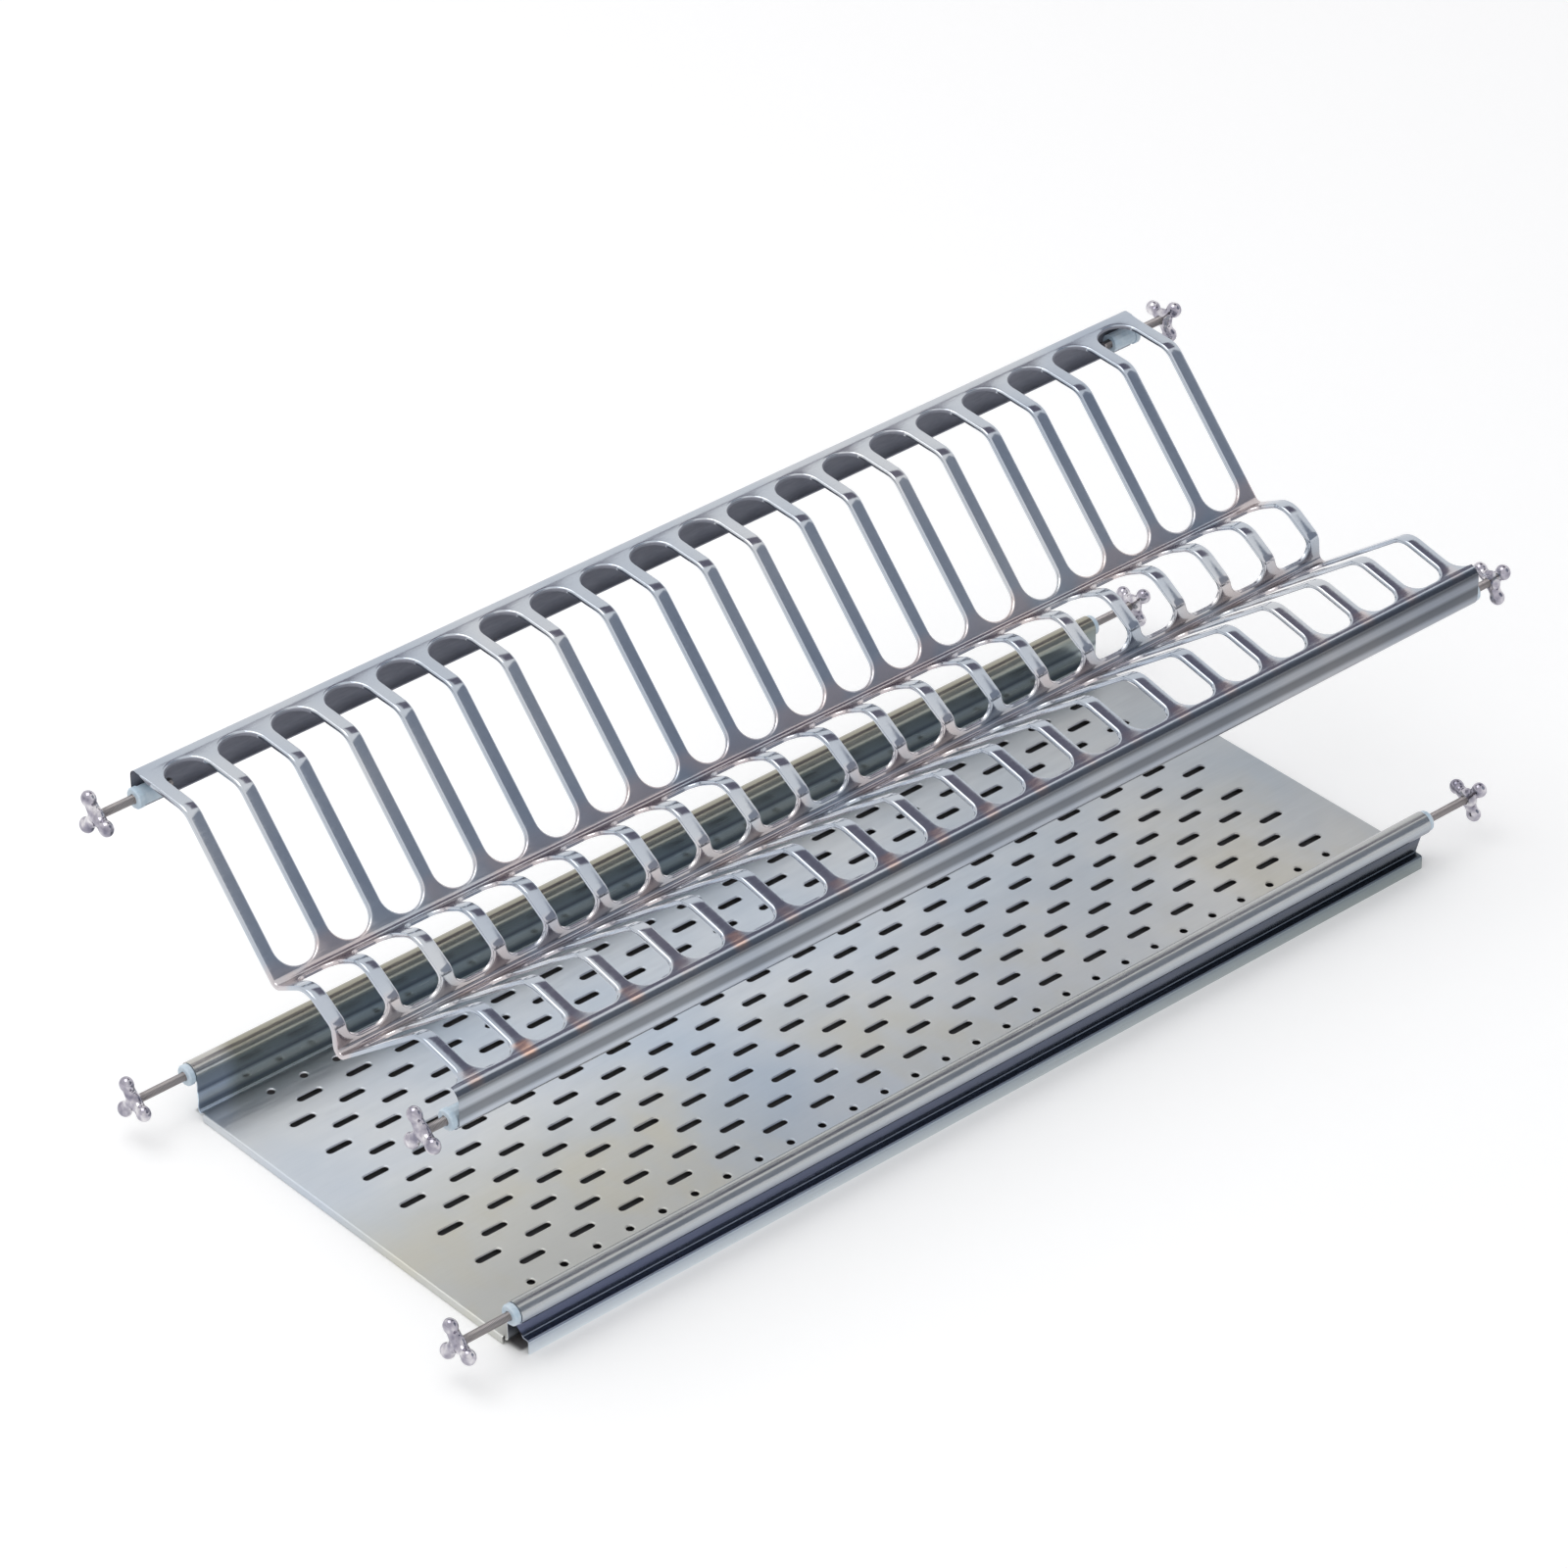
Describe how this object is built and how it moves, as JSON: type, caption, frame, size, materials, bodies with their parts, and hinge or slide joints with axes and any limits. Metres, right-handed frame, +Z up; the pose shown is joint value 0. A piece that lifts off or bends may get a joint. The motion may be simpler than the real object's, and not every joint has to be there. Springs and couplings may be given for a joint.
{
  "type": "dish drainer",
  "caption": "Built-in cabinet dish drainer: a slatted stainless plate rack above a perforated drip tray, each held between side panels by screw-out star feet.",
  "frame": {"origin": "centre of the overall footprint, at the height of the tray's lowest edge", "axes": "+X along the rack to the right-hand side panel, +Y to the back of the cabinet, +Z up"},
  "size_m": [0.764, 0.2998, 0.2302],
  "materials": {
    "rack_steel": "polished stainless sheet",
    "tray_steel": "satin stainless sheet",
    "plug_plastic": "satin",
    "rod_steel": "threaded, bright zinc",
    "star_zinc": "polished"
  },
  "bodies": {
    "set": {"plate_rack": "rack_steel", "drip_tray": "tray_steel", "rack_plug_rear_left": "plug_plastic", "rack_plug_rear_right": "plug_plastic", "rack_plug_front_left": "plug_plastic", "rack_plug_front_right": "plug_plastic", "tray_plug_rear_left": "plug_plastic", "tray_plug_rear_right": "plug_plastic", "tray_plug_front_left": "plug_plastic", "tray_plug_front_right": "plug_plastic"},
    "rack_rod_rear_left": {"rack_rod_rear_left": "rod_steel"},
    "rack_star_rear_left": {"rack_star_rear_left": "star_zinc"},
    "rack_rod_rear_right": {"rack_rod_rear_right": "rod_steel"},
    "rack_star_rear_right": {"rack_star_rear_right": "star_zinc"},
    "rack_rod_front_left": {"rack_rod_front_left": "rod_steel"},
    "rack_star_front_left": {"rack_star_front_left": "star_zinc"},
    "rack_rod_front_right": {"rack_rod_front_right": "rod_steel"},
    "rack_star_front_right": {"rack_star_front_right": "star_zinc"},
    "tray_rod_rear_left": {"tray_rod_rear_left": "rod_steel"},
    "tray_star_rear_left": {"tray_star_rear_left": "star_zinc"},
    "tray_rod_rear_right": {"tray_rod_rear_right": "rod_steel"},
    "tray_star_rear_right": {"tray_star_rear_right": "star_zinc"},
    "tray_rod_front_left": {"tray_rod_front_left": "rod_steel"},
    "tray_star_front_left": {"tray_star_front_left": "star_zinc"},
    "tray_rod_front_right": {"tray_rod_front_right": "rod_steel"},
    "tray_star_front_right": {"tray_star_front_right": "star_zinc"}
  },
  "joints": [
    {"name": "rack_rear_left_reach", "type": "slide", "parent": "set", "child": "rack_rod_rear_left", "axis": [-1, 0, 0], "range_m": [-0.01, 0.012]},
    {"name": "rack_rear_left_spin", "type": "hinge", "parent": "rack_rod_rear_left", "child": "rack_star_rear_left", "pos_m": [-0.378, 0.13045, 0.216], "axis": [1, 0, 0], "range_deg": [-4500, 5400]},
    {"name": "rack_rear_right_reach", "type": "slide", "parent": "set", "child": "rack_rod_rear_right", "axis": [1, 0, 0], "range_m": [-0.01, 0.012]},
    {"name": "rack_rear_right_spin", "type": "hinge", "parent": "rack_rod_rear_right", "child": "rack_star_rear_right", "pos_m": [0.378, 0.13045, 0.216], "axis": [-1, 0, 0], "range_deg": [-4500, 5400]},
    {"name": "rack_front_left_reach", "type": "slide", "parent": "set", "child": "rack_rod_front_left", "axis": [-1, 0, 0], "range_m": [-0.01, 0.012]},
    {"name": "rack_front_left_spin", "type": "hinge", "parent": "rack_rod_front_left", "child": "rack_star_front_left", "pos_m": [-0.378, -0.13045, 0.1625], "axis": [1, 0, 0], "range_deg": [-4500, 5400]},
    {"name": "rack_front_right_reach", "type": "slide", "parent": "set", "child": "rack_rod_front_right", "axis": [1, 0, 0], "range_m": [-0.01, 0.012]},
    {"name": "rack_front_right_spin", "type": "hinge", "parent": "rack_rod_front_right", "child": "rack_star_front_right", "pos_m": [0.378, -0.13045, 0.1625], "axis": [-1, 0, 0], "range_deg": [-4500, 5400]},
    {"name": "tray_rear_left_reach", "type": "slide", "parent": "set", "child": "tray_rod_rear_left", "axis": [-1, 0, 0], "range_m": [-0.015, 0.014]},
    {"name": "tray_rear_left_spin", "type": "hinge", "parent": "tray_rod_rear_left", "child": "tray_star_rear_left", "pos_m": [-0.365, 0.135, 0.0263], "axis": [1, 0, 0], "range_deg": [-6750, 6300]},
    {"name": "tray_rear_right_reach", "type": "slide", "parent": "set", "child": "tray_rod_rear_right", "axis": [1, 0, 0], "range_m": [-0.015, 0.014]},
    {"name": "tray_rear_right_spin", "type": "hinge", "parent": "tray_rod_rear_right", "child": "tray_star_rear_right", "pos_m": [0.365, 0.135, 0.0263], "axis": [-1, 0, 0], "range_deg": [-6750, 6300]},
    {"name": "tray_front_left_reach", "type": "slide", "parent": "set", "child": "tray_rod_front_left", "axis": [-1, 0, 0], "range_m": [-0.015, 0.014]},
    {"name": "tray_front_left_spin", "type": "hinge", "parent": "tray_rod_front_left", "child": "tray_star_front_left", "pos_m": [-0.365, -0.135, 0.0263], "axis": [1, 0, 0], "range_deg": [-6750, 6300]},
    {"name": "tray_front_right_reach", "type": "slide", "parent": "set", "child": "tray_rod_front_right", "axis": [1, 0, 0], "range_m": [-0.015, 0.014]},
    {"name": "tray_front_right_spin", "type": "hinge", "parent": "tray_rod_front_right", "child": "tray_star_front_right", "pos_m": [0.365, -0.135, 0.0263], "axis": [-1, 0, 0], "range_deg": [-6750, 6300]}
  ],
  "couplings": [
    {"joint": "rack_rear_left_reach", "follows": "rack_rear_left_spin", "m_per_rad": 0.00012732},
    {"joint": "rack_rear_right_reach", "follows": "rack_rear_right_spin", "m_per_rad": 0.00012732},
    {"joint": "rack_front_left_reach", "follows": "rack_front_left_spin", "m_per_rad": 0.00012732},
    {"joint": "rack_front_right_reach", "follows": "rack_front_right_spin", "m_per_rad": 0.00012732},
    {"joint": "tray_rear_left_reach", "follows": "tray_rear_left_spin", "m_per_rad": 0.00012732},
    {"joint": "tray_rear_right_reach", "follows": "tray_rear_right_spin", "m_per_rad": 0.00012732},
    {"joint": "tray_front_left_reach", "follows": "tray_front_left_spin", "m_per_rad": 0.00012732},
    {"joint": "tray_front_right_reach", "follows": "tray_front_right_spin", "m_per_rad": 0.00012732}
  ]
}
